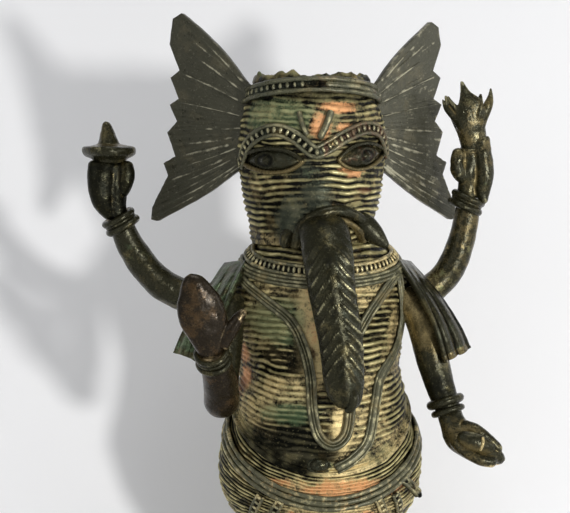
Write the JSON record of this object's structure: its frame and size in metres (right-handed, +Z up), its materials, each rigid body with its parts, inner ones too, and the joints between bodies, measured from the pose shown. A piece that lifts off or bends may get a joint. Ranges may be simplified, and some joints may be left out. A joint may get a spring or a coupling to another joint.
{
  "type": "hindu deity statue",
  "caption": "Standing many-armed, elephant-headed deity in dark cast brass, ridged with coiled threads, with fan ears, a long trunk and a flat base plate to stand on",
  "frame": {"origin": "centre of the underside of the base plate", "axes": "+Z up; the figure faces -Y; +X is the figure's own left"},
  "size_m": [0.1251, 0.0681, 0.216],
  "materials": {
    "worn_brass": "cast thread-ridged surface, pale worn ridges over near-black hollows",
    "dark_bronze": "smooth dark brown-black patina with ochre rubbing",
    "ear_bronze": "flat gunmetal-olive patina with light scratched veins",
    "hand_bronze": "brown patina worn shiny at the high places",
    "cord_bronze": "cast cords and laddered bands, dark with rubbed tops",
    "clay": "baked clay core, matte"
  },
  "bodies": {
    "root": {"base_plate": "worn_brass", "hip_shell": "worn_brass", "torso_shell": "worn_brass", "head_shell": "worn_brass", "left_rosette": "worn_brass", "right_rosette": "worn_brass", "tilaka_mark": "worn_brass", "left_foot": "dark_bronze", "right_foot": "dark_bronze", "left_leg": "dark_bronze", "right_leg": "dark_bronze", "navel_boss": "dark_bronze", "crown_cap": "dark_bronze", "left_eye": "dark_bronze", "right_eye": "dark_bronze", "trunk": "dark_bronze", "trunk_hood": "dark_bronze", "left_rear_arm": "dark_bronze", "right_rear_arm": "dark_bronze", "right_front_upper_arm": "dark_bronze", "left_front_arm": "dark_bronze", "disc_finial": "dark_bronze", "left_ear": "ear_bronze", "right_ear": "ear_bronze", "left_tusk": "ear_bronze", "right_tusk": "ear_bronze", "left_scarf_tail": "ear_bronze", "right_scarf_tail": "ear_bronze", "scarf_yoke": "ear_bronze", "left_rear_hand": "hand_bronze", "right_rear_hand": "hand_bronze", "right_front_forearm": "hand_bronze", "right_front_hand": "hand_bronze", "left_front_hand": "hand_bronze", "sweet": "hand_bronze", "lotus_bud": "hand_bronze", "base_edge_cord": "cord_bronze", "left_anklet": "cord_bronze", "right_anklet": "cord_bronze", "waist_girdle": "cord_bronze", "girdle_knot": "cord_bronze", "left_apron_border": "cord_bronze", "right_apron_border": "cord_bronze", "long_necklace": "cord_bronze", "sacred_thread": "cord_bronze", "collar_band": "cord_bronze", "collar_cord": "cord_bronze", "crown_band": "cord_bronze", "brow_band": "cord_bronze", "left_rear_bangle": "cord_bronze", "right_rear_bangle": "cord_bronze", "right_front_bangle": "cord_bronze", "left_front_bangle": "cord_bronze", "hip_core": "clay", "torso_core": "clay", "head_core": "clay"}
  },
  "joints": []
}
